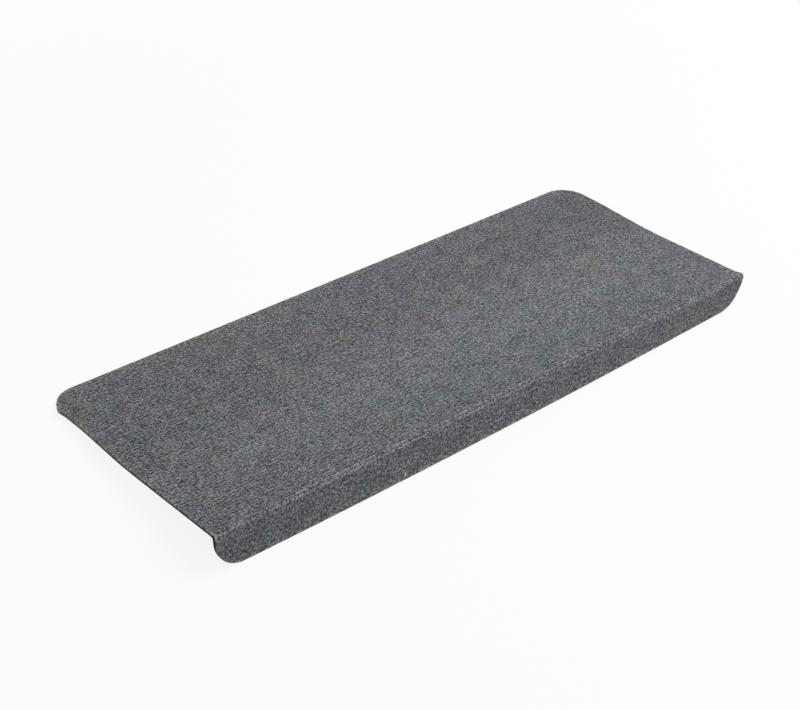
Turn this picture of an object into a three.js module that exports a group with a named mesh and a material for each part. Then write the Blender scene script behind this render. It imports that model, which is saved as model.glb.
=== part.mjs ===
// Anti slip stair tread mat.
// A ribbed, needle-punched felt face is bonded all over to a thin black non-slip backing. The two were
// cut together as one flat blank with four rounded corners. The blank lies on the stair, turns over the
// nosing in a single tight fold and hangs down in front as a short lip.
// Units are millimetres, +X runs along the mat, +Z is up and the lip faces -Y. The mat lies free on a
// flat floor, on its back edge and on the lip's lower edge. The origin is under the middle of the mat.

import * as THREE from 'three';

// Driving dimensions of the mat
const matLength = 650;
const treadDepth = 245;
const lipDrop = 35;
const cornerRadius = 26;
const faceThickness = 2.2;
const backingThickness = 0.9;
const foldInsideRadius = 0.4;

// The ribs run along the mat. Each has a narrow groove and a flat crest.
const ribPitch = 3.52;
const ribHeight = 0.4;

// How the soft sheet hangs. The tread sags between its flat back and the fold.
const treadSag = 2.9;
const sagLine = [
  { across: 0, share: 0 },
  { across: 0.2, share: 0.06 },
  { across: 0.36, share: 0.62 },
  { across: 0.5, share: 1 },
  { across: 0.74, share: 0.58 },
  { across: 1, share: 0 },
];

// The lip's lean out from vertical, in degrees, as four control values from its left end to its right.
const lipLean = [5.4, 13.7, 6.3, -5.5];

// How finely the sheet is faceted
const columns = 12;
const rowsPerRib = 3;
const ribsPerPlainRow = 4;

const sheetThickness = faceThickness + backingThickness;
const foldOutsideRadius = foldInsideRadius + sheetThickness;

// The line of the tread seen from the end, from the back edge to the sharp corner that the fold rounds off.
const treadLine = new THREE.SplineCurve(
  sagLine.map(({ across, share }) => new THREE.Vector2(treadDepth * (1 - across), -treadSag * share)),
);
treadLine.arcLengthDivisions = 2000;
const treadLineLength = treadLine.getLength();

const leanCurve = new THREE.CubicBezierCurve(
  new THREE.Vector2(0, lipLean[0]),
  new THREE.Vector2(1 / 3, lipLean[1]),
  new THREE.Vector2(2 / 3, lipLean[2]),
  new THREE.Vector2(1, lipLean[3]),
);

// Distances over the blank are measured from the back edge. The fold starts where its round leaves the
// tread line, and the blank ends at the lip's lower edge, the same all along the mat.
const meanLean = lipLean.reduce((sum, lean) => sum + lean) / lipLean.length;
const foldSetback = foldOutsideRadius * Math.tan(THREE.MathUtils.degToRad(90 - meanLean) / 2);
const foldStart = treadLineLength - foldSetback;
const foldEntry = treadLine.getPointAt(foldStart / treadLineLength);
const foldHeading = treadLine.getTangentAt(foldStart / treadLineLength);
const foldLength = foldOutsideRadius * (Math.PI / 2);
const blankDepth = foldStart + foldLength + lipDrop - foldOutsideRadius;

// A place on the sheet's crest surface with the direction out of it, at x and a distance from the back edge.
function sheetPoint(x, distance) {
  if (distance <= foldStart) {
    const along = distance / treadLineLength;
    return { place: treadLine.getPointAt(along), heading: treadLine.getTangentAt(along) };
  }
  const lean = THREE.MathUtils.degToRad(leanCurve.getPoint(x / matLength + 0.5).y);
  const fullTurn = Math.PI / 2 + Math.asin(foldHeading.y) - lean;
  const turn = Math.min((distance - foldStart) / foldOutsideRadius, fullTurn);
  const straight = distance - foldStart - turn * foldOutsideRadius;
  const heading = foldHeading.clone().rotateAround(new THREE.Vector2(), turn);
  const centre = foldEntry.clone().addScaledVector(outOf(foldHeading), -foldOutsideRadius);
  const place = centre.addScaledVector(outOf(heading), foldOutsideRadius).addScaledVector(heading, straight);
  return { place, heading };
}

// The outward direction at a heading that runs from the back edge towards the lip
function outOf(heading) {
  return new THREE.Vector2(heading.y, -heading.x);
}

// Half of the blank's length at a distance from its back edge, less where its corners are rounded
function halfLengthAt(distance) {
  const fromEdge = Math.min(distance, blankDepth - distance);
  const intoCorner = Math.max(cornerRadius - fromEdge, 0);
  return matLength / 2 - cornerRadius + Math.sqrt(Math.max(cornerRadius ** 2 - intoCorner ** 2, 0));
}

// Rows of the sheet's facets. Each lies at one distance from the back edge. A groove row and the crest
// rows beside it make one rib. Plain rows also carry the two flat surfaces under the ribs.
function makeRows() {
  const ribs = Math.round(blankDepth / ribPitch);
  const rows = [];
  for (let step = 0; step <= ribs * rowsPerRib; step += 1) {
    const distance = (blankDepth * step) / (ribs * rowsPerRib);
    const groove = step % rowsPerRib === 0;
    const inFold = distance > foldStart - ribPitch && distance < foldStart + foldLength + ribPitch;
    const atEnd = step < rowsPerRib || step > (ribs - 1) * rowsPerRib;
    const inCorner = distance < cornerRadius || distance > blankDepth - cornerRadius;
    const spaced = step % (rowsPerRib * ribsPerPlainRow) === 0;
    const plain = inFold || atEnd || (groove && (inCorner || spaced));
    rows.push({ distance, plain, ribDrop: groove ? ribHeight : 0 });
  }
  return rows;
}

// One surface of the sheet as rows of points, at a depth below the crest of the ribs
function makeSurface(rows, depthBelowCrest) {
  return rows.map((row) => {
    const half = halfLengthAt(row.distance);
    const points = [];
    for (let column = 0; column <= columns; column += 1) {
      const x = half * ((2 * column) / columns - 1);
      const { place, heading } = sheetPoint(x, row.distance);
      const surface = place.clone().addScaledVector(outOf(heading), -depthBelowCrest(row));
      points.push(new THREE.Vector3(x, surface.x, surface.y));
    }
    return { distance: row.distance, points };
  });
}

// A closed solid between two surfaces. Every row of the lower surface lies under a row of the upper one.
function solidBetween(upper, lower) {
  const positions = [];
  const numberPoints = (surface) => surface.map((row) => row.points.map((point) => {
    positions.push(point.x, point.y, point.z);
    return positions.length / 3 - 1;
  }));
  const top = numberPoints(upper);
  const bottom = numberPoints(lower);
  const faces = [];

  // The rows run towards -Y and the columns towards +X, so this winding faces out of the crest surface.
  const coverSurface = (grid, facesOut) => {
    for (let row = 1; row < grid.length; row += 1) {
      for (let column = 1; column <= columns; column += 1) {
        const backLeft = grid[row - 1][column - 1];
        const backRight = grid[row - 1][column];
        const frontLeft = grid[row][column - 1];
        const frontRight = grid[row][column];
        if (facesOut) {
          faces.push(backLeft, frontLeft, frontRight, backLeft, frontRight, backRight);
        } else {
          faces.push(backLeft, frontRight, frontLeft, backLeft, backRight, frontRight);
        }
      }
    }
  };
  coverSurface(top, true);
  coverSurface(bottom, false);

  // The cut back edge and the lip's cut lower edge
  const last = columns;
  for (let column = 1; column <= last; column += 1) {
    const [highLeft, highRight] = [top[0][column - 1], top[0][column]];
    const [lowLeft, lowRight] = [bottom[0][column - 1], bottom[0][column]];
    faces.push(highLeft, highRight, lowRight, highLeft, lowRight, lowLeft);
    const [lipHighLeft, lipHighRight] = [top.at(-1)[column - 1], top.at(-1)[column]];
    const [lipLowLeft, lipLowRight] = [bottom.at(-1)[column - 1], bottom.at(-1)[column]];
    faces.push(lipHighLeft, lipLowLeft, lipLowRight, lipHighLeft, lipLowRight, lipHighRight);
  }

  // The cut left and right edges, with the ribs showing as notches
  let upperRow = 0;
  for (let row = 1; row < lower.length; row += 1) {
    const firstUpperRow = upperRow;
    while (upper[upperRow].distance < lower[row].distance) {
      const [back, front] = [upperRow, upperRow + 1];
      faces.push(bottom[row - 1][0], top[front][0], top[back][0]);
      faces.push(bottom[row - 1][last], top[back][last], top[front][last]);
      upperRow += 1;
    }
    if (upperRow > firstUpperRow) {
      faces.push(bottom[row - 1][0], bottom[row][0], top[upperRow][0]);
      faces.push(bottom[row - 1][last], top[upperRow][last], bottom[row][last]);
    }
  }

  const geometry = new THREE.BufferGeometry();
  geometry.setAttribute('position', new THREE.Float32BufferAttribute(positions, 3));
  geometry.setIndex(faces);
  geometry.computeVertexNormals();
  return geometry;
}

// How far the front is raised when the back edge and the lip's lower edge both touch the floor
function restTilt() {
  const backEdge = underside[0].points[0];
  const lipPoints = [...underside.at(-1).points, ...ribbedSurface.at(-1).points];
  return Math.max(...lipPoints.map((point) => Math.atan2(backEdge.z - point.z, backEdge.y - point.y)));
}

const ribRows = makeRows();
const plainRows = ribRows.filter((row) => row.plain);
const ribbedSurface = makeSurface(ribRows, (row) => row.ribDrop);
const bondSurface = makeSurface(plainRows, () => faceThickness);
const underside = makeSurface(plainRows, () => sheetThickness);

const carpetFace = new THREE.Mesh(
  solidBetween(ribbedSurface, bondSurface),
  new THREE.MeshStandardMaterial({ color: 0x6a6a6e, roughness: 0.95, metalness: 0 }),
);
carpetFace.name = 'carpet_face';

const backing = new THREE.Mesh(
  solidBetween(bondSurface, underside),
  new THREE.MeshStandardMaterial({ color: 0x141414, roughness: 0.85, metalness: 0 }),
);
backing.name = 'backing';

// The sheet is shaped with a level tread, then laid down so that it rests on its two lower edges.
const sheet = new THREE.Group();
sheet.add(carpetFace, backing);
sheet.rotation.x = -restTilt();

const mat = new THREE.Group();
mat.add(sheet);
const pointByPoint = true;
const box = new THREE.Box3().setFromObject(mat, pointByPoint);
const middle = box.getCenter(new THREE.Vector3());
mat.position.set(-middle.x, -middle.y, -box.min.z);
mat.updateMatrixWorld(true);

export default mat;
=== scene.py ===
# Looks of the anti slip stair tread mat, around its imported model. Lengths are in metres.
# The mat is one cut blank of ribbed needle felt on a thin black backing. Both layers are made here as
# finer sheets on the same fold line as the solids, with felt fibres, a cut edge and a grained underside.

import functools
import math

import bpy
import numpy as np
from mathutils import Matrix, Vector


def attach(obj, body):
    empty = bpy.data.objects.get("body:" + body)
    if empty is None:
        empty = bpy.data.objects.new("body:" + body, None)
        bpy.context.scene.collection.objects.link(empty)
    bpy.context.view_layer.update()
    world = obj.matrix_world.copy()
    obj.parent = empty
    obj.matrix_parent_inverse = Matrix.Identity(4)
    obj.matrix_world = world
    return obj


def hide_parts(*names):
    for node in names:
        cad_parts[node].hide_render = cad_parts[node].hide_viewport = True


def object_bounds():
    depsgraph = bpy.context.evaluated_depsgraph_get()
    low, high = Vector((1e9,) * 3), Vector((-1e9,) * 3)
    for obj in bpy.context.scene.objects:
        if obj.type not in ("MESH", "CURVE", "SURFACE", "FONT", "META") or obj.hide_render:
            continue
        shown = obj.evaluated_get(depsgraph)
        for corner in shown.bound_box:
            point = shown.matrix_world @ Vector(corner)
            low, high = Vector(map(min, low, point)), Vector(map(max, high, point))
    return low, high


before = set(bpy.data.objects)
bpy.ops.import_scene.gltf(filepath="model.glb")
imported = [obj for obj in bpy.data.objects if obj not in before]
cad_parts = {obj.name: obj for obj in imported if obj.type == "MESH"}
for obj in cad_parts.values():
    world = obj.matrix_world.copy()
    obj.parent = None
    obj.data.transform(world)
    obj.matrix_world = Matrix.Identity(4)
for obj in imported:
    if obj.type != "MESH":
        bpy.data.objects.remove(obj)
cad_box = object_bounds()

# Sizes of the mat, as cut and folded
MAT_LENGTH = cad_box[1].x - cad_box[0].x
TREAD_DEPTH = 0.245
LIP_DROP = 0.035
CORNER_RADIUS = 0.026
FACE_THICKNESS = 0.0022
BACKING_THICKNESS = 0.0009
SHEET_THICKNESS = FACE_THICKNESS + BACKING_THICKNESS
FOLD_INSIDE_RADIUS = 0.0004
FOLD_OUTSIDE_RADIUS = FOLD_INSIDE_RADIUS + SHEET_THICKNESS

# How the sheet hangs. The sag line gives shares of the tread's depth from the back edge, each with its share
# of the sag. The lip's lean is in degrees out from vertical, as four control values from left to right.
TREAD_SAG = 0.0029
SAG_LINE = ((0.0, 0.0), (0.2, 0.06), (0.36, 0.62), (0.5, 1.0), (0.74, 0.58), (1.0, 0.0))
LIP_LEAN = (5.4, 13.7, 6.3, -5.5)

# The felt's relief: ribs along the mat, broken into loops where the needles went in. The first groove's
# place is a share of the rib pitch.
RIBS = 78
RIB_HEIGHT = 0.0004
FIRST_GROOVE = 1 / 3
LOOP_LENGTH = 0.00484
TUFT_HEIGHT = 0.0001
CUT_EDGE_ROUND = 0.0001
CUT_EDGE_FLUFF = 0.00018
CUT_EDGE_RAGGED = 0.00015

# How finely the sheets are meshed. The solids have fewer columns, and they rest on one of those.
SOLID_COLUMNS = 12
ROWS_PER_RIB = 3
COLUMN_STEP = 0.0017
CUT_EDGE_STEPS = (0.00012, 0.00045)
UNDER_ROW_STEP = 3
UNDER_COLUMN_STEP = 10
SHARP_ANGLE = math.radians(62)
NOISE_CELLS = 256

# How far each part of the felt's pattern swings its tone. A step of one doubles the brightness, so that dark
# pits and light crests come out even to the eye.
# The ribs' swing is painted shade in their grooves and painted light on their crests, over the real grooves
# of the relief.
RIB_SHADE_TONE = 1.5
LOOP_TONE = 0.17
STAGGER_TONE = 0.16
TREAD_GRAIN_TONE = 9.9
LIP_GRAIN_TONE = 11.2
FINE_GRAIN_TONE = 16.0
HAIR_TONE = 1.6
PATCH_TONE = 2.3
DEPTH_LIGHT_TONE = 0.08
PALEST_TONE = 1.15

# The felt's red, green and blue: its level, and how teal clouds, olive clouds and plain unevenness move it
FELT_CHANNELS = (
    (0.1675, -0.18, 0.04, 0.26),
    (0.1637, 0.025, 0.075, -0.19),
    (0.187, -0.045, -0.156, -0.08),
)

# The camera of the photograph, in the mat's frame, with its angles in degrees
CAMERA_PLACE = (-0.93655, -0.8596, 0.98919)
CAMERA_AZIMUTH = -46.686
CAMERA_ELEVATION = 38.116
CAMERA_ROLL = 8.773
CAMERA_LENS_MM = 77.544
CAMERA_SENSOR_MM = 36

# The studio
FLOOR_REACH = 6.0
WORLD_LIGHT = 0.42


def smooth_line(points, steps):
    """A smooth line through the points, with the given number of steps between each two."""
    padded = np.vstack([points[:1], points, points[-1:]])
    share = np.linspace(0, 1, steps, endpoint=False)[:, None]
    stretches = []
    for before, start, end, after in zip(padded, padded[1:], padded[2:], padded[3:]):
        leave = (end - before) / 2
        arrive = (after - start) / 2
        cubic = 2 * start - 2 * end + leave + arrive
        square = 3 * end - 3 * start - 2 * leave - arrive
        stretches.append(((cubic * share + square) * share + leave) * share + start)
    return np.vstack([*stretches, points[-1:]])


def smooth_step(share):
    share = np.clip(share, 0, 1)
    return share * share * (3 - 2 * share)


@functools.cache
def noise_table(seed):
    return np.random.default_rng(seed).uniform(-1, 1, (NOISE_CELLS, NOISE_CELLS))


def soft_noise(seed, x, y, cell):
    """Smooth random heights from -1 to 1, with hills about one cell apart."""
    table = noise_table(seed)
    column = np.floor(x / cell).astype(int)
    row = np.floor(y / cell).astype(int)
    across = smooth_step(x / cell - column)
    down = smooth_step(y / cell - row)
    left, right = column % NOISE_CELLS, (column + 1) % NOISE_CELLS
    near, far = row % NOISE_CELLS, (row + 1) % NOISE_CELLS
    near_height = table[left, near] * (1 - across) + table[right, near] * across
    far_height = table[left, far] * (1 - across) + table[right, far] * across
    return near_height * (1 - down) + far_height * down


# The fold line of the sheet, seen from its end. Distances run over the blank from its back edge.
sag_points = np.array([(TREAD_DEPTH * (1 - across), -TREAD_SAG * share) for across, share in SAG_LINE])
tread_line = smooth_line(sag_points, steps=400)
tread_run = np.concatenate([[0], np.cumsum(np.linalg.norm(np.diff(tread_line, axis=0), axis=1))])
tread_heading = np.gradient(tread_line, tread_run, axis=0)
mean_lean = math.radians(sum(LIP_LEAN) / len(LIP_LEAN))
FOLD_START = tread_run[-1] - FOLD_OUTSIDE_RADIUS * math.tan((math.pi / 2 - mean_lean) / 2)
BLANK_DEPTH = FOLD_START + FOLD_OUTSIDE_RADIUS * (math.pi / 2 - 1) + LIP_DROP
RIB_PITCH = BLANK_DEPTH / RIBS

# Where this mat's ends are drawn out of the cut line, or in below zero: how far, around which distance, and
# how wide the place is
DRAWN_RIGHT = ((0.0021, FOLD_START - 0.001, 0.005), (-0.0016, FOLD_START + 0.022, 0.01))
DRAWN_LEFT = ((0.0004, FOLD_START + 0.0012, 0.0028), (0.0011, 0.021, 0.007), (-0.0005, 0.065, 0.03))
DRAWN_REACH = 0.008


def at_run(run, values):
    return np.stack([np.interp(run, tread_run, values[:, axis]) for axis in (0, 1)], axis=-1)


def outward(heading):
    return np.stack([heading[..., 1], -heading[..., 0]], axis=-1)


def sheet_place(x, distance):
    """Where the sheet's crest surface is and which way it faces, as (y, z) pairs, with a level tread."""
    share = x / MAT_LENGTH + 0.5
    left, left_pull, right_pull, right = LIP_LEAN
    lean = left * (1 - share) ** 3 + 3 * left_pull * share * (1 - share) ** 2
    lean = lean + 3 * right_pull * share * share * (1 - share) + right * share ** 3
    entry = at_run(np.array(FOLD_START), tread_line)
    entry_heading = at_run(np.array(FOLD_START), tread_heading)
    entry_angle = math.atan2(entry_heading[1], entry_heading[0])
    full_turn = np.radians(270 - lean) - entry_angle
    turn = np.clip((distance - FOLD_START) / FOLD_OUTSIDE_RADIUS, 0, full_turn)
    straight = np.maximum(distance - FOLD_START - turn * FOLD_OUTSIDE_RADIUS, 0)
    heading = np.stack([np.cos(entry_angle + turn), np.sin(entry_angle + turn)], axis=-1)
    centre = entry - outward(entry_heading) * FOLD_OUTSIDE_RADIUS
    folded = centre + outward(heading) * FOLD_OUTSIDE_RADIUS + heading * straight[..., None]
    on_tread = (distance <= FOLD_START)[..., None]
    place = np.where(on_tread, at_run(distance, tread_line), folded)
    heading = np.where(on_tread, at_run(distance, tread_heading), heading)
    return place, outward(heading)


def half_length_at(distance):
    """Half of the blank's length at a distance from its back edge, less where its corners are rounded."""
    into_corner = np.maximum(CORNER_RADIUS - np.minimum(distance, BLANK_DEPTH - distance), 0)
    return MAT_LENGTH / 2 - CORNER_RADIUS + np.sqrt(np.maximum(CORNER_RADIUS ** 2 - into_corner ** 2, 0))


def inside_edge(x, distance):
    """How far a place on the blank is from the blank's cut outline."""
    beyond_x = np.abs(x) - (MAT_LENGTH / 2 - CORNER_RADIUS)
    beyond_y = np.abs(distance - BLANK_DEPTH / 2) - (BLANK_DEPTH / 2 - CORNER_RADIUS)
    corner = np.hypot(np.maximum(beyond_x, 0), np.maximum(beyond_y, 0))
    return CORNER_RADIUS - corner - np.minimum(np.maximum(beyond_x, beyond_y), 0)


def level_points(x, distance, below_crest):
    """Points of the sheet with a level tread, at a depth below the crest of the ribs."""
    place, out = sheet_place(x, distance)
    place = place - out * np.asarray(below_crest)[..., None]
    return np.stack([x, place[..., 0], place[..., 1]], axis=-1)


def laid_down():
    """The turn and shift that lay the level sheet on the floor, on its back edge and its lip."""
    x = np.linspace(-1, 1, SOLID_COLUMNS + 1) * half_length_at(np.array(BLANK_DEPTH))
    lip = np.full(x.shape, BLANK_DEPTH)
    edges = np.vstack([level_points(x, lip, np.full(x.shape, deep)) for deep in (0, SHEET_THICKNESS)])
    back = level_points(x, np.zeros(x.shape), np.full(x.shape, SHEET_THICKNESS))[0]
    tilt = max(math.atan2(back[2] - point[2], back[1] - point[1]) for point in edges)
    turn = np.array(Matrix.Rotation(-tilt, 3, "X"))
    rearmost = level_points(np.zeros(1), np.zeros(1), np.full(1, RIB_HEIGHT))[0] @ turn.T
    return turn, np.array([0, cad_box[1].y - rearmost[1], cad_box[0].z - (turn @ back)[2]])


LAY_TURN, LAY_SHIFT = laid_down()


def sheet_points(x, distance, below_crest):
    """Points in the mat's own frame, at a depth below the crest of the ribs."""
    return level_points(x, distance, below_crest) @ LAY_TURN.T + LAY_SHIFT


def blank_grid():
    """The rows and columns of the felt's mesh over the blank, finer at its cut edges."""
    edge_steps = np.array(CUT_EDGE_STEPS)
    rows = np.linspace(0, BLANK_DEPTH, RIBS * ROWS_PER_RIB + 1)
    rows = np.unique(np.concatenate([rows, edge_steps, BLANK_DEPTH - edge_steps]))
    half = MAT_LENGTH / 2
    shares = np.linspace(-1, 1, int(MAT_LENGTH / COLUMN_STEP) + 1)
    shares = np.unique(np.concatenate([shares, 1 - edge_steps / half, edge_steps / half - 1]))
    distance = np.repeat(rows[:, None], len(shares), axis=1)
    return distance, half_length_at(distance) * shares


def under_lines(distance):
    """The rows and columns of the felt's mesh that the surfaces under it keep, with the last of each."""
    def some(count, step):
        return sorted({*range(0, count, step), count - 1})

    return some(distance.shape[0], UNDER_ROW_STEP), some(distance.shape[1], UNDER_COLUMN_STEP)


def felt_relief(x, distance):
    """How far the felt's surface lies below the crest of its ribs."""
    wander = 0.00035 * soft_noise(11, x, distance, 0.028) + 0.0002 * soft_noise(12, x, distance, 0.009)
    groove = np.abs(np.cos(np.pi * ((distance + wander) / RIB_PITCH - FIRST_GROOVE))) ** 4
    packed = 0.75 + 0.25 * soft_noise(13, x, distance, 0.006)
    tufts = TUFT_HEIGHT * soft_noise(14, x, distance, 0.0047)
    from_cut = inside_edge(x, distance)
    groove = groove * smooth_step(from_cut / 0.0016)
    fluffed = CUT_EDGE_FLUFF * np.exp(-(from_cut / 0.0014) ** 2)
    rounded = CUT_EDGE_ROUND * (1 - smooth_step(from_cut / 0.0003))
    pressed = 1 - 0.6 * smooth_step((distance - FOLD_START - 0.004) / 0.006)
    return RIB_HEIGHT * groove * packed * pressed - tufts - fluffed + rounded


def drawn_out(distance, places):
    return sum(amount * np.exp(-((distance - middle) / width) ** 2) for amount, middle, width in places)


def ragged(x, distance, amount):
    """Moves the cut ends in and out as a knife leaves them, and draws out the fold's ends and one corner."""
    half = half_length_at(distance)
    side = np.sign(x) * (np.abs(x) >= half * 0.9999)
    near_end = smooth_step((np.abs(x) - half + DRAWN_REACH) / DRAWN_REACH)
    drawn = np.where(x > 0, drawn_out(distance, DRAWN_RIGHT), -drawn_out(distance, DRAWN_LEFT)) * near_end
    return x + side * amount * (1.2 + soft_noise(21, distance, x, 0.0016)) + drawn


# Helpers for meshes

def add_object(name, data):
    made = bpy.data.objects.new(name, data)
    bpy.context.scene.collection.objects.link(made)
    return made


def smooth_mesh(name, points, faces, material):
    mesh = bpy.data.meshes.new(name)
    mesh.from_pydata(points, [], faces)
    mesh.update()
    mesh.polygons.foreach_set("use_smooth", np.ones(len(mesh.polygons), bool))
    mesh.materials.append(material)
    return mesh


def keep_in_mesh(mesh, name, kind, field, values):
    """Keeps a value for each point of the mesh, for its material to read."""
    kept = mesh.attributes.new(name, kind, "POINT")
    kept.data.foreach_set(field, np.asarray(values, np.float32).ravel())


def on_blank(x, distance, below_crest):
    """The place on the blank that the materials read: along, from the back edge, and depth."""
    depth = np.broadcast_to(below_crest, x.shape)
    return np.stack([x, distance, depth], axis=-1).reshape(-1, 3)


def closed_sheet(name, upper, lower, lower_rows, lower_columns, blank, material):
    """A closed mesh between a fine upper grid and a lower one that has some of its rows and columns."""
    rows, columns = upper.shape[:2]
    upper_ids = np.arange(rows * columns).reshape(rows, columns)
    lower_ids = np.arange(lower.shape[0] * lower.shape[1]).reshape(lower.shape[:2]) + rows * columns
    points = np.vstack([upper.reshape(-1, 3), lower.reshape(-1, 3)])

    def quads(ids):
        return np.stack([ids[:-1, :-1], ids[1:, :-1], ids[1:, 1:], ids[:-1, 1:]], axis=-1).reshape(-1, 4)

    # The cut edge runs once round the grid. Each upper point stands on the last lower one that it passed.
    under = {(row, column): lower_ids[i, j]
             for i, row in enumerate(lower_rows) for j, column in enumerate(lower_columns)
             if row in (0, rows - 1) or column in (0, columns - 1)}
    loop = [(row, 0) for row in range(rows)]
    loop += [(rows - 1, column) for column in range(1, columns)]
    loop += [(row, columns - 1) for row in range(rows - 2, -1, -1)]
    loop += [(0, column) for column in range(columns - 2, 0, -1)]
    walls = []
    foot = under[loop[0]]
    for here, ahead in zip(loop, loop[1:] + loop[:1]):
        walls.append((upper_ids[here], foot, upper_ids[ahead]))
        if ahead in under:
            walls.append((upper_ids[ahead], foot, under[ahead]))
            foot = under[ahead]

    top = quads(upper_ids)
    bottom = quads(lower_ids)[:, ::-1]
    mesh = smooth_mesh(name, points.tolist(), [*top.tolist(), *bottom.tolist(), *walls], material)
    mesh.set_sharp_from_angle(angle=SHARP_ANGLE)
    keep_in_mesh(mesh, "blank_place", "FLOAT_VECTOR", "vector", blank)
    keep_in_mesh(mesh, "from_cut_edge", "FLOAT", "value", inside_edge(blank[:, 0], blank[:, 1]))
    return add_object(name, mesh)


def make_felt_face(material):
    distance, x = blank_grid()
    lower_rows, lower_columns = under_lines(distance)
    under = np.ix_(lower_rows, lower_columns)
    upper_x = ragged(x, distance, CUT_EDGE_RAGGED)
    relief = felt_relief(x, distance)
    upper = sheet_points(upper_x, distance, relief)
    lower_x = ragged(x, distance, 0.0)[under]
    lower = sheet_points(lower_x, distance[under], np.full(lower_x.shape, FACE_THICKNESS))
    blank = np.vstack([on_blank(x, distance, relief), on_blank(x[under], distance[under], FACE_THICKNESS)])
    piece = closed_sheet("felt_face", upper, lower, lower_rows, lower_columns, blank, material)
    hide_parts("carpet_face")
    return piece


def make_rubber_backing(material):
    distance, x = blank_grid()
    under = np.ix_(*under_lines(distance))
    x = ragged(x, distance, 0.0)[under]
    distance = distance[under]
    upper = sheet_points(x, distance, np.full(x.shape, FACE_THICKNESS))
    lower = sheet_points(x, distance, np.full(x.shape, SHEET_THICKNESS))
    blank = np.vstack([on_blank(x, distance, FACE_THICKNESS), on_blank(x, distance, SHEET_THICKNESS)])
    every_row, every_column = range(x.shape[0]), range(x.shape[1])
    piece = closed_sheet("rubber_backing", upper, lower, every_row, every_column, blank, material)
    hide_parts("backing")
    return piece


# Fibres that have come loose from the felt and lie on it. Each is given by where it starts on the blank, its
# run along the mat and towards the lip, its radius and how pale it is.
LOOSE_FIBRES = [
    (-0.1290, 0.2722, -0.0003, 0.0040, 0.0005, 1.2),
    (-0.1408, 0.2468, 0.0016, 0.0006, 0.00016, 0.75),
    (-0.0846, 0.2758, 0.0012, 0.0012, 0.00016, 0.7),
    (-0.0212, 0.2412, 0.0026, 0.0005, 0.00015, 0.6),
    (0.3205, 0.2165, 0.0012, 0.0055, 0.00022, 0.8),
    (0.1485, 0.1520, 0.0030, 0.0006, 0.0002, 0.7),
    (0.1580, 0.2372, 0.0018, 0.0010, 0.0002, 0.6),
]
SCATTERED_FIBRES = 160
EDGE_HAIRS = 2400
FIBRE_SIDES = 5
FIBRE_RINGS = 7


def scattered_fibres(count):
    """Short, thin loose fibres all over the mat."""
    chance = np.random.default_rng(31)
    fibres = []
    for _ in range(count):
        x, distance = chance.uniform(-0.31, 0.31), chance.uniform(0.012, BLANK_DEPTH - 0.012)
        turn, length = chance.uniform(0, 2 * math.pi), chance.uniform(0.002, 0.006)
        run = length * math.cos(turn), 0.5 * length * math.sin(turn)
        fibres.append((x, distance, *run, chance.uniform(0.00003, 0.00007), chance.uniform(0.1, 0.6)))
    return fibres


def edge_fuzz(count):
    """Fine hairs that stand out of the cut edge all round the mat, and some along the fold."""
    chance = np.random.default_rng(33)
    rooted = 0.0006
    hairs = []
    for _ in range(count):
        side = chance.integers(0, 5)
        distance = chance.uniform(0.004, BLANK_DEPTH - 0.004)
        half = float(half_length_at(np.array(distance)))
        x = chance.uniform(-0.3, 0.3)
        out = chance.uniform(0.0005, 0.0013)
        slide = chance.uniform(-0.0012, 0.0012)
        radius, pale = chance.uniform(0.00002, 0.00004), chance.uniform(0.0, 0.35)
        if side < 2:
            way = 1 if side else -1
            hairs.append((way * (half - rooted), distance, way * (rooted + out * 0.6), slide, radius, pale))
        elif side == 2:
            hairs.append((x, rooted, slide, -0.0005, radius, pale))
        elif side == 3:
            hairs.append((x, BLANK_DEPTH - rooted, slide, 0.0005, radius, pale))
        else:
            in_fold, lean = FOLD_START + chance.uniform(0, 0.005), chance.uniform(-0.001, 0.001)
            hairs.append((x, in_fold, slide, lean, radius, pale))
    return hairs


def fibre_points(x, distance, along, across, radius, sway):
    """Rings of points round a fibre, which bows to a side, arches over the felt and tapers to its ends."""
    probe = 0.001
    share = np.linspace(0, 1, FIBRE_RINGS)
    bow = 0.18 * math.hypot(along, across) * sway * np.sin(math.pi * share)
    xs = x + along * share - bow * np.sign(across)
    distances = distance + across * share + bow * 0.5
    arch = radius * 1.2 * np.sin(math.pi * share) - radius * 0.3
    below_crest = felt_relief(xs, distances) - arch
    middles = sheet_points(xs, distances, below_crest)
    rise = (sheet_points(xs, distances, below_crest - probe) - middles) / probe
    ahead = np.gradient(middles, axis=0)
    ahead /= np.linalg.norm(ahead, axis=1)[:, None]
    beside = np.cross(ahead, rise)
    beside /= np.linalg.norm(beside, axis=1)[:, None]
    rise = np.cross(beside, ahead)
    taper = radius * (0.35 + 0.65 * np.sqrt(np.clip(1 - (2 * share - 1) ** 2, 0, 1)))
    points = []
    for ring in range(FIBRE_RINGS):
        for side in range(FIBRE_SIDES):
            angle = 2 * math.pi * side / FIBRE_SIDES
            out = math.cos(angle) * beside[ring] + math.sin(angle) * rise[ring]
            points.append(tuple(middles[ring] + taper[ring] * out))
    return points


def fibre_faces(first):
    """The faces round a fibre and over its two ends, from the number of its first point."""
    faces = []
    for ring in range(first, first + (FIBRE_RINGS - 1) * FIBRE_SIDES, FIBRE_SIDES):
        for side in range(FIBRE_SIDES):
            here, beside = ring + side, ring + (side + 1) % FIBRE_SIDES
            faces.append((here, beside, beside + FIBRE_SIDES, here + FIBRE_SIDES))
    last_ring = first + (FIBRE_RINGS - 1) * FIBRE_SIDES
    faces.append(tuple(first + side for side in reversed(range(FIBRE_SIDES))))
    faces.append(tuple(last_ring + side for side in range(FIBRE_SIDES)))
    return faces


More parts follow.
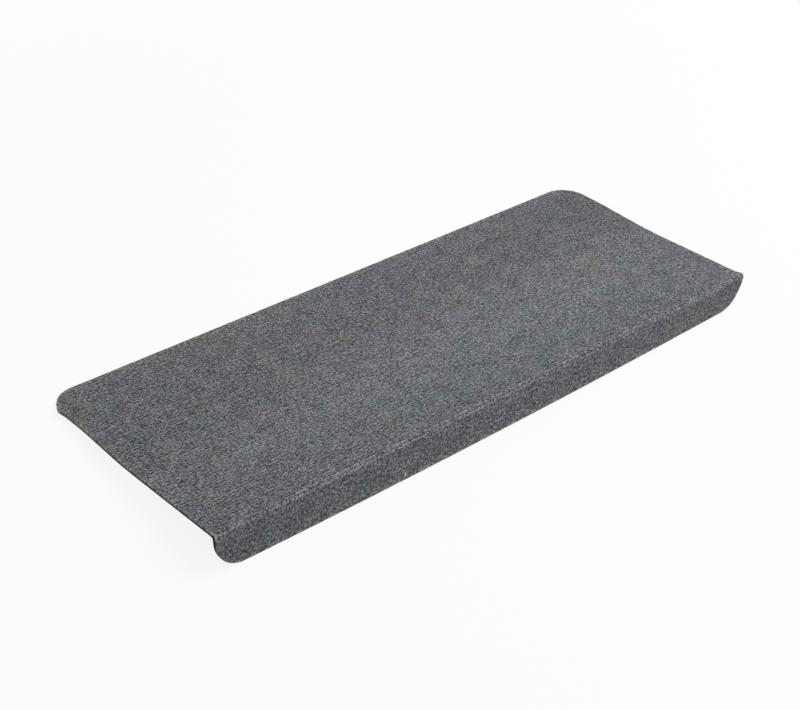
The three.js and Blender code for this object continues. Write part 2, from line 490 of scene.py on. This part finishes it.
def make_loose_fibres(material):
    chance = np.random.default_rng(32)
    points = []
    faces = []
    paleness = []
    fibres = LOOSE_FIBRES + scattered_fibres(SCATTERED_FIBRES) + edge_fuzz(EDGE_HAIRS)
    for *fibre, pale in fibres:
        faces += fibre_faces(len(points))
        points += fibre_points(*fibre, chance.uniform(-1, 1))
        paleness += [pale] * (FIBRE_RINGS * FIBRE_SIDES)
    mesh = smooth_mesh("loose_fibres", points, faces, material)
    keep_in_mesh(mesh, "paleness", "FLOAT", "value", paleness)
    piece = add_object("loose_fibres", mesh)
    return piece


# Helpers for materials

def plug(tree, socket, value):
    if isinstance(value, bpy.types.NodeSocket):
        tree.links.new(value, socket)
    else:
        socket.default_value = value


def calc(tree, operation, *values):
    made = tree.nodes.new("ShaderNodeMath")
    made.operation = operation
    for socket, value in zip(made.inputs, values):
        plug(tree, socket, value)
    return made.outputs[0]


def chained(tree, operation, *values):
    """The operation on the first two values, then on its result and the third, and so on."""
    return functools.reduce(functools.partial(calc, tree, operation), values)


def added(tree, *values):
    return chained(tree, "ADD", *values)


def times(tree, *values):
    return chained(tree, "MULTIPLY", *values)


def centred(tree, value, middle, amount):
    """The value's swing about its middle, times an amount."""
    return times(tree, calc(tree, "SUBTRACT", value, middle), amount)


def ramp(tree, value, start, stop):
    """A smooth change from one value to another, each given as a place with its value."""
    made = tree.nodes.new("ShaderNodeMapRange")
    made.interpolation_type = "SMOOTHSTEP"
    plug(tree, made.inputs["Value"], value)
    made.inputs["From Min"].default_value = start[0]
    made.inputs["From Max"].default_value = stop[0]
    made.inputs["To Min"].default_value = start[1]
    made.inputs["To Max"].default_value = stop[1]
    return made.outputs[0]


def band(tree, value, rise, fall, height=1.0):
    """A soft band that rises between two places and falls away between two later ones."""
    up = ramp(tree, value, (rise[0], 0.0), (rise[1], height))
    return times(tree, up, ramp(tree, value, (fall[0], 1.0), (fall[1], 0.0)))


def vector_calc(tree, operation, vector, other):
    """The operation on two vectors, or for SCALE on a vector and a number."""
    made = tree.nodes.new("ShaderNodeVectorMath")
    made.operation = operation
    plug(tree, made.inputs[0], vector)
    plug(tree, made.inputs["Scale" if operation == "SCALE" else 1], other)
    return made.outputs[0]


def rotated(tree, vector, angle):
    made = tree.nodes.new("ShaderNodeVectorRotate")
    made.rotation_type = "Z_AXIS"
    plug(tree, made.inputs["Vector"], vector)
    made.inputs["Angle"].default_value = angle
    return made.outputs[0]


def split(tree, vector):
    made = tree.nodes.new("ShaderNodeSeparateXYZ")
    plug(tree, made.inputs[0], vector)
    return made.outputs


def from_mesh(tree, name):
    """The values that the mesh keeps under a name."""
    made = tree.nodes.new("ShaderNodeAttribute")
    made.attribute_name = name
    return made.outputs


def noise(tree, vector, per_metre, detail=2.0, roughness=0.5):
    made = tree.nodes.new("ShaderNodeTexNoise")
    plug(tree, made.inputs["Vector"], vector)
    made.inputs["Scale"].default_value = per_metre
    made.inputs["Detail"].default_value = detail
    made.inputs["Roughness"].default_value = roughness
    return made.outputs


def mixed_colour(tree, factor, first, second):
    made = tree.nodes.new("ShaderNodeMix")
    made.data_type = "RGBA"
    plug(tree, made.inputs["Factor"], factor)
    plug(tree, made.inputs["A"], first)
    plug(tree, made.inputs["B"], second)
    return made.outputs["Result"]


def new_group(name, inputs, outputs):
    group = bpy.data.node_groups.new(name, "ShaderNodeTree")
    for label, kind, value in inputs:
        socket = group.interface.new_socket(name=label, in_out="INPUT", socket_type=kind)
        if value is not None:
            socket.default_value = value
    for label in outputs:
        group.interface.new_socket(name=label, in_out="OUTPUT", socket_type="NodeSocketFloat")
    return group, group.nodes.new("NodeGroupInput").outputs, group.nodes.new("NodeGroupOutput").inputs


def use_group(tree, group, **values):
    made = tree.nodes.new("ShaderNodeGroup")
    made.node_tree = group
    for label, value in values.items():
        plug(tree, made.inputs[label], value)
    return made.outputs


def new_material(name):
    material = bpy.data.materials.new(name)
    material.use_nodes = True
    tree = material.node_tree
    return material, tree, tree.nodes["Principled BSDF"]


def add_bump(tree, shader, height):
    bump = tree.nodes.new("ShaderNodeBump")
    bump.inputs["Strength"].default_value = 1.0
    bump.inputs["Distance"].default_value = 1.0
    plug(tree, bump.inputs["Height"], height)
    tree.links.new(bump.outputs["Normal"], shader.inputs["Normal"])


# Effects that the materials share

def make_rib_rhythm():
    """Masks of the felt's repeats: rib crests, needle loops along them, and their staggering."""
    group, given, result = new_group(
        "rib_rhythm",
        [("Place", "NodeSocketVector", None), ("Rib Pitch", "NodeSocketFloat", RIB_PITCH),
         ("Loop Length", "NodeSocketFloat", LOOP_LENGTH), ("Wander", "NodeSocketFloat", 0.001)],
        ["Rib", "Loop", "Stagger"],
    )
    drift = noise(group, given["Place"], 210)["Color"]
    either_way = vector_calc(group, "ADD", drift, (-0.5, -0.5, -0.5))
    wander = vector_calc(group, "SCALE", either_way, given["Wander"])
    parts = split(group, vector_calc(group, "ADD", given["Place"], wander))
    along = calc(group, "DIVIDE", parts["X"], given["Loop Length"])
    across = calc(group, "SUBTRACT", calc(group, "DIVIDE", parts["Y"], given["Rib Pitch"]), FIRST_GROOVE)
    across_wave = calc(group, "COSINE", times(group, across, math.pi))
    along_wave = calc(group, "COSINE", times(group, along, math.pi))
    groove = calc(group, "POWER", calc(group, "ABSOLUTE", across_wave), 2.0)
    plug(group, result["Rib"], calc(group, "SUBTRACT", 1.0, groove))
    plug(group, result["Loop"], calc(group, "POWER", calc(group, "ABSOLUTE", along_wave), 2.0))
    plug(group, result["Stagger"], times(group, across_wave, along_wave))
    return group


def make_fibre_grain():
    """Matted fibres: soft clumps crossed by short strokes that lean both ways."""
    group, given, result = new_group(
        "fibre_grain",
        [("Place", "NodeSocketVector", None), ("Fineness", "NodeSocketFloat", 500.0)],
        ["Grain"],
    )
    size = vector_calc(group, "SCALE", given["Place"], given["Fineness"])
    strokes = []
    for turn in (0.6, -0.75):
        drawn = vector_calc(group, "MULTIPLY", rotated(group, size, turn), (1.6, 0.55, 1.0))
        strokes.append(noise(group, drawn, 1.0, 3, 0.65)["Fac"])
    clump = noise(group, size, 0.62)["Fac"]
    crossed = chained(group, "MAXIMUM", *strokes)
    plug(group, result["Grain"], added(group, times(group, crossed, 0.6), times(group, clump, 0.4)))
    return group


def make_fibre_hairs():
    """Single fibres, drawn as thin strokes that cross each other at three slants."""
    group, given, result = new_group("fibre_hairs", [("Place", "NodeSocketVector", None)], ["Hair"])
    drift = noise(group, given["Place"], 170, 1)["Color"]
    bend = vector_calc(group, "MULTIPLY", drift, (0.004, 0.004, 0.0))
    bent = vector_calc(group, "ADD", given["Place"], bend)
    strokes = []
    for turn, offset in ((0.45, 0.0), (-0.5, 1.3), (1.35, 2.9)):
        turned = rotated(group, vector_calc(group, "ADD", bent, (offset, 0.0, 0.0)), turn)
        drawn = vector_calc(group, "MULTIPLY", turned, (330.0, 3300.0, 900.0))
        strokes.append(noise(group, drawn, 1.0, 1)["Fac"])
    plug(group, result["Hair"], calc(group, "SUBTRACT", chained(group, "MAXIMUM", *strokes), 0.1))
    return group


RIB_RHYTHM = make_rib_rhythm()
FIBRE_GRAIN = make_fibre_grain()
FIBRE_HAIRS = make_fibre_hairs()


# The felt's material, in parts. Along runs over the mat from its middle, and from_back from its back edge.

def rib_crispness(tree, along, from_back):
    """How strongly the ribs' painted light and shade shows: most at the left, a little more at the front
    right, none past the fold.
    """
    front_right = times(tree, ramp(tree, from_back, (0.15, 0.0), (0.2, 0.15)),
                        ramp(tree, along, (0.05, 0.0), (0.2, 1.0)))
    crisp = added(tree, front_right, ramp(tree, along, (-0.2, 0.86), (0.25, 0.36)))
    return times(tree, crisp, ramp(tree, from_back, (FOLD_START - 0.002, 1.0), (FOLD_START + 0.001, 0.0)))


def painted_fold_light(tree, along, over_fold):
    """Painted highlight along the fold, where the felt turns to the light, and painted light and shade of
    the ribs as they go over it.
    """
    # The painted highlight on the fold, strongest at the left
    turned = times(tree, band(tree, over_fold, (-0.0005, 0.0015), (0.0055, 0.0085)),
                   ramp(tree, along, (-0.2, 0.34), (0.22, 0.16)))
    fold_rib_light_and_shade = times(tree, calc(tree, "COSINE", centred(tree, over_fold, 0.001, 2 * math.pi / 0.0041)),
                   ramp(tree, over_fold, (-0.002, 0.0), (0.0, 0.42)),
                   ramp(tree, over_fold, (0.0015, 1.0), (0.0125, 0.05)),
                   ramp(tree, along, (0.12, 1.0), (0.28, 0.4)))
    return turned, fold_rib_light_and_shade


def patches_and_painted_light(tree, along, from_back, over_fold):
    """Wide, soft places that are lighter or darker: painted light and shade on the tread and under the fold,
    and darker felt at the back right, the right end and the front left.
    """
    # Painted shade at the left of the tread's middle and painted light at the right.
    middle_light_and_shade = times(tree, ramp(tree, from_back, (0.07, 0.0), (0.12, 1.0)),
                ramp(tree, from_back, (0.14, 1.0), (0.185, 0.1)),
                ramp(tree, along, (-0.26, -0.08), (0.1, 0.11)))

    # A stripe of painted light runs in front of the sag, wide at the left and narrow past the middle.
    wide_stripe = times(tree, band(tree, from_back, (0.11, 0.145), (0.17, 0.19), 0.1),
                        band(tree, along, (-0.29, -0.24), (-0.06, 0.03)))
    thin_stripe = times(tree, band(tree, from_back, (0.154, 0.168), (0.172, 0.19), 0.09),
                        band(tree, along, (-0.06, 0.03), (0.16, 0.24)))

    # The felt is darker at the back right, at the right end and at the front left, and painted shade darkens
    # the lip high under the fold.
    back_right = times(tree, band(tree, from_back, (0.01, 0.025), (0.07, 0.09), -0.06),
                       ramp(tree, along, (0.11, 0.0), (0.18, 1.0)))
    right_end = times(tree, ramp(tree, from_back, (0.19, -0.11), (0.22, 0.0)),
                      ramp(tree, along, (0.24, 0.0), (0.31, 1.0)))
    front_left = times(tree, ramp(tree, from_back, (0.165, 0.0), (0.19, -0.075)),
                       ramp(tree, along, (-0.28, 1.0), (-0.18, 0.0)))
    painted_shade_under_fold = band(tree, over_fold, (0.004, 0.007), (0.02, 0.028), -0.075)
    return middle_light_and_shade, wide_stripe, thin_stripe, back_right, right_end, front_left, painted_shade_under_fold


def fibre_clouds(tree, place, along, from_back, from_cut):
    """Fibres of a few colours are carded unevenly: teal and olive clouds lie in a violet grey."""
    cloud = tree.nodes.new("ShaderNodeSeparateColor")
    plug(tree, cloud.inputs[0], noise(tree, place, 36, 3, 0.6)["Color"])
    more_teal = times(tree, ramp(tree, from_back, (0.12, 0.0), (0.19, 0.09)),
                      ramp(tree, from_back, (FOLD_START - 0.01, 1.0), (FOLD_START + 0.01, -0.8)),
                      ramp(tree, along, (-0.2, 0.0), (-0.05, 1.0)),
                      ramp(tree, along, (0.2, 1.0), (0.31, 0.2)))
    more_olive = times(tree, ramp(tree, from_back, (0.0, 0.13), (0.08, 0.0)),
                       ramp(tree, along, (-0.28, 1.0), (0.0, 0.2)))
    near_edge = ramp(tree, from_cut, (0.001, 0.75), (0.013, 0.0))
    teal = ramp(tree, added(tree, cloud.outputs["Red"], more_teal), (0.55, 0.0), (0.6, 1.0))
    olive = ramp(tree, added(tree, cloud.outputs["Green"], more_olive), (0.56, 0.0), (0.62, 1.0))
    olive = times(tree, calc(tree, "MAXIMUM", olive, near_edge), calc(tree, "SUBTRACT", 1.0, teal))
    return teal, olive, centred(tree, cloud.outputs["Blue"], 0.5, 0.2)


def blackened(tree, depth, from_back, from_cut):
    """Where the felt's cut edge is blackened, partly by the backing's black soaked into it and partly as
    painted shade: least at the back, most at the fold.
    """
    bare = ramp(tree, from_back, (0.02, 0.0007), (0.09, 0.0))
    thin = times(tree, ramp(tree, from_back, (FOLD_START - 0.002, 0.0), (FOLD_START + 0.002, 0.0016)),
                 ramp(tree, from_cut, (0.00005, 1.0), (0.0003, 0.0)),
                 ramp(tree, from_back, (FOLD_START + 0.01, 1.0), (FOLD_START + 0.02, 0.4)))
    blackened_depth = added(tree, calc(tree, "SUBTRACT", depth, bare), thin)
    return ramp(tree, blackened_depth, (0.0011, 0.0), (0.0014, 1.0))


def make_felt_material():
    material, tree, shader = new_material("grey_needle_felt")
    place = from_mesh(tree, "blank_place")["Vector"]
    from_cut = from_mesh(tree, "from_cut_edge")["Fac"]
    along, from_back, depth = split(tree, place)
    elsewhere = vector_calc(tree, "ADD", place, (0.4, 0.3, 0.1))
    rhythm = use_group(tree, RIB_RHYTHM, Place=place, Wander=0.0045)
    grain = use_group(tree, FIBRE_GRAIN, Place=place, Fineness=480.0)["Grain"]
    fine = use_group(tree, FIBRE_GRAIN, Place=elsewhere, Fineness=950.0)["Grain"]
    hairs = use_group(tree, FIBRE_HAIRS, Place=place)["Hair"]
    patch = noise(tree, place, 62, 5, 0.62)["Fac"]

    # The fold line bows a little between the mat's ends.
    bowed = times(tree, along, along, 0.018)
    over_fold = calc(tree, "SUBTRACT", added(tree, from_back, bowed), FOLD_START)

    matted = ramp(tree, over_fold, (0.0, TREAD_GRAIN_TONE), (0.005, LIP_GRAIN_TONE))
    tone = added(
        tree,
        # Painted shade in the rib grooves and painted light on the rib crests
        times(tree, centred(tree, rhythm["Rib"], 0.5, RIB_SHADE_TONE), rib_crispness(tree, along, from_back)),
        centred(tree, rhythm["Loop"], 0.5, LOOP_TONE),
        times(tree, rhythm["Stagger"], STAGGER_TONE),
        centred(tree, grain, 0.53, matted),
        centred(tree, fine, 0.53, FINE_GRAIN_TONE),
        centred(tree, hairs, 0.5, HAIR_TONE),
        centred(tree, patch, 0.5, PATCH_TONE),
    )
    tone = calc(tree, "SMOOTH_MIN", tone, PALEST_TONE, 0.9)
    fluffed = ramp(tree, from_cut, (0.0008, 0.2), (0.0045, 0.0))
    # Painted light and shade in one slow wave over the depth: darker behind the middle of the tread and
    # lighter in front of it.
    depth_light = calc(tree, "SINE", centred(tree, from_back, 0.12, 2 * math.pi / 0.22))
    tone = added(tree, tone, *painted_fold_light(tree, along, over_fold),
                 *patches_and_painted_light(tree, along, from_back, over_fold), fluffed, times(tree, depth_light, DEPTH_LIGHT_TONE))

    clouds = fibre_clouds(tree, place, along, from_back, from_cut)
    shade = tree.nodes.new("ShaderNodeCombineColor")
    for socket, (level, *pulls) in zip(shade.inputs, FELT_CHANNELS):
        power = added(tree, tone, *(times(tree, cloud, pull) for cloud, pull in zip(clouds, pulls)))
        plug(tree, socket, times(tree, calc(tree, "POWER", 2.0, power), level))
    soaked_and_shaded = blackened(tree, depth, from_back, from_cut)
    colour = mixed_colour(tree, soaked_and_shaded, shade.outputs[0], (0.004, 0.004, 0.004, 1))
    tree.links.new(colour, shader.inputs["Base Color"])

    height = added(tree, times(tree, grain, 0.0016), times(tree, fine, 0.0008),
                   times(tree, hairs, 0.00022), times(tree, rhythm["Loop"], 0.0001))
    add_bump(tree, shader, height)
    shader.inputs["Roughness"].default_value = 0.95
    shader.inputs["Specular IOR Level"].default_value = 0.1
    shader.inputs["Sheen Weight"].default_value = 0.05
    shader.inputs["Sheen Roughness"].default_value = 0.6
    return material


def make_backing_material():
    material, tree, shader = new_material("black_non_slip_backing")
    place = from_mesh(tree, "blank_place")["Vector"]
    grain = use_group(tree, FIBRE_GRAIN, Place=place, Fineness=700.0)["Grain"]
    hairs = use_group(tree, FIBRE_HAIRS, Place=place)["Hair"]
    pebbles = tree.nodes.new("ShaderNodeTexVoronoi")
    pebbles.feature = "SMOOTH_F1"
    plug(tree, pebbles.inputs["Vector"], place)
    pebbles.inputs["Scale"].default_value = 520
    pebble = calc(tree, "SUBTRACT", 1.0, pebbles.outputs["Distance"])
    cloudy = noise(tree, place, 60, 3)["Fac"]
    worn = added(tree, times(tree, cloudy, 0.6), times(tree, pebble, 0.5))
    colour = mixed_colour(tree, worn, (0.003, 0.003, 0.003, 1), (0.013, 0.013, 0.014, 1))
    tree.links.new(colour, shader.inputs["Base Color"])
    plug(tree, shader.inputs["Roughness"], added(tree, 0.6, centred(tree, grain, 0.5, 0.6)))
    height = added(tree, times(tree, grain, 0.0003), times(tree, pebble, 0.0005), times(tree, hairs, 0.0001))
    add_bump(tree, shader, height)
    shader.inputs["Specular IOR Level"].default_value = 0.25
    return material


def make_fibre_material():
    material, tree, shader = new_material("loose_felt_fibre")
    where = tree.nodes.new("ShaderNodeTexCoord").outputs["Object"]
    speck = noise(tree, where, 1500)["Fac"]
    dusty = added(tree, from_mesh(tree, "paleness")["Fac"], centred(tree, speck, 0.5, 0.4))
    colour = mixed_colour(tree, dusty, (0.17, 0.17, 0.18, 1), (0.9, 0.88, 0.8, 1))
    tree.links.new(colour, shader.inputs["Base Color"])
    shader.inputs["Roughness"].default_value = 0.7
    shader.inputs["Specular IOR Level"].default_value = 0.3
    return material


# Stage, lights and camera

def seen_directly(tree):
    """One for what the camera sees straight or in a gloss, and zero for the light on the mat."""
    ray = tree.nodes.new("ShaderNodeLightPath")
    return calc(tree, "MAXIMUM", ray.outputs["Is Camera Ray"], ray.outputs["Is Glossy Ray"])


def make_floor():
    """A pale floor that takes the mat's shadow and turns plain white to the camera further out."""
    material, tree, shader = new_material("pale_floor")
    shader.inputs["Base Color"].default_value = (0.94, 0.94, 0.94, 1)
    shader.inputs["Roughness"].default_value = 1.0
    shader.inputs["Specular IOR Level"].default_value = 0.0
    glow = tree.nodes.new("ShaderNodeEmission")
    glow.inputs["Color"].default_value = (1, 1, 1, 1)
    glow.inputs["Strength"].default_value = 1.0
    away = tree.nodes.new("ShaderNodeVectorMath")
    away.operation = "LENGTH"
    plug(tree, away.inputs[0], tree.nodes.new("ShaderNodeTexCoord").outputs["Object"])
    share = ramp(tree, away.outputs["Value"], (0.45, 0.88), (1.1, 1.0))
    mix = tree.nodes.new("ShaderNodeMixShader")
    plug(tree, mix.inputs[0], times(tree, seen_directly(tree), share))
    tree.links.new(shader.outputs[0], mix.inputs[1])
    tree.links.new(glow.outputs[0], mix.inputs[2])
    tree.links.new(mix.outputs[0], tree.nodes["Material Output"].inputs["Surface"])

    mesh = bpy.data.meshes.new("floor")
    level = cad_box[0].z
    corners = [(x * FLOOR_REACH, y * FLOOR_REACH, level) for x, y in ((-1, -1), (1, -1), (1, 1), (-1, 1))]
    mesh.from_pydata(corners, [], [(0, 1, 2, 3)])
    mesh.materials.append(material)
    floor = add_object("floor", mesh)


def light_world():
    world = bpy.data.worlds.new("studio")
    bpy.context.scene.world = world
    world.use_nodes = True
    tree = world.node_tree
    background = tree.nodes["Background"]
    white = times(tree, seen_directly(tree), 1 - WORLD_LIGHT)
    plug(tree, background.inputs["Strength"], added(tree, WORLD_LIGHT, white))
    background.inputs["Color"].default_value = (1, 1, 1, 1)


def add_lamp(name, place, target, size, power):
    data = bpy.data.lights.new(name, "AREA")
    data.shape = "SQUARE"
    data.size = size
    data.energy = power
    lamp = add_object(name, data)
    lamp.location = place
    lamp.rotation_mode = "QUATERNION"
    lamp.rotation_quaternion = (Vector(target) - Vector(place)).to_track_quat("-Z", "Y")


def make_camera():
    data = bpy.data.cameras.new("camera")
    data.lens = CAMERA_LENS_MM
    data.sensor_width = CAMERA_SENSOR_MM
    camera = add_object("camera", data)
    azimuth = math.radians(CAMERA_AZIMUTH)
    elevation = math.radians(CAMERA_ELEVATION)
    level = Vector((-math.sin(azimuth), math.cos(azimuth), 0))
    look = level * math.cos(elevation) - Vector((0, 0, math.sin(elevation)))
    camera.location = CAMERA_PLACE
    camera.rotation_mode = "QUATERNION"
    rolled = Matrix.Rotation(math.radians(-CAMERA_ROLL), 3, look) @ look.to_track_quat("-Z", "Y").to_matrix()
    camera.rotation_quaternion = rolled.to_quaternion()
    bpy.context.scene.camera = camera


make_camera()
make_floor()
light_world()
add_lamp("key", place=(0.95, -0.32, 1.75), target=(0, 0, 0), size=1.6, power=27)

felt_face = make_felt_face(make_felt_material())
rubber_backing = make_rubber_backing(make_backing_material())
loose_fibres = make_loose_fibres(make_fibre_material())
for piece in (felt_face, rubber_backing, loose_fibres):
    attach(piece, "root")

bpy.context.scene.view_settings.view_transform = "Standard"
